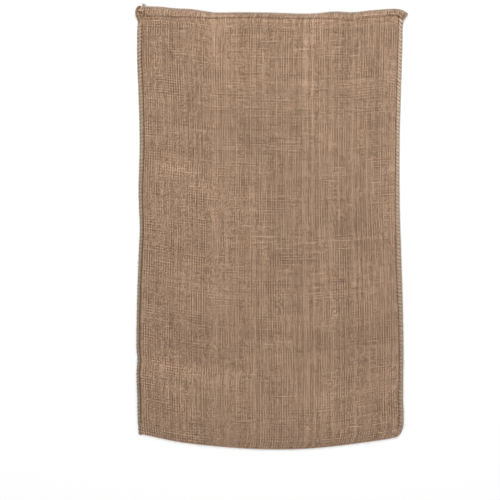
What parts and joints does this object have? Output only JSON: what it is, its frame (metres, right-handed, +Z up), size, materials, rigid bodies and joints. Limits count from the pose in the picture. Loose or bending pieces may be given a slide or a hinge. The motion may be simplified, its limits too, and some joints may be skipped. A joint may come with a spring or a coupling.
{
  "type": "jute sack",
  "caption": "Empty jute sack lying flat on its back: cloth folded at the bottom, sides overcast with yarn, mouth rolled into a hem and a little open.",
  "frame": {"origin": "middle of the box of the whole sack, on the surface that the sack lies on", "axes": "+X across the sack, to the right when it is seen face on with its mouth at the top; +Y along the sack, from the bottom fold to the mouth; +Z up, out of its face"},
  "size_m": [0.6385, 1.037, 0.0173],
  "materials": {
    "jute": "coarse plain-woven jute, matt, light brown, with slubs and fuzz"
  },
  "bodies": {
    "root": {"sack_cloth": "jute"}
  },
  "joints": []
}
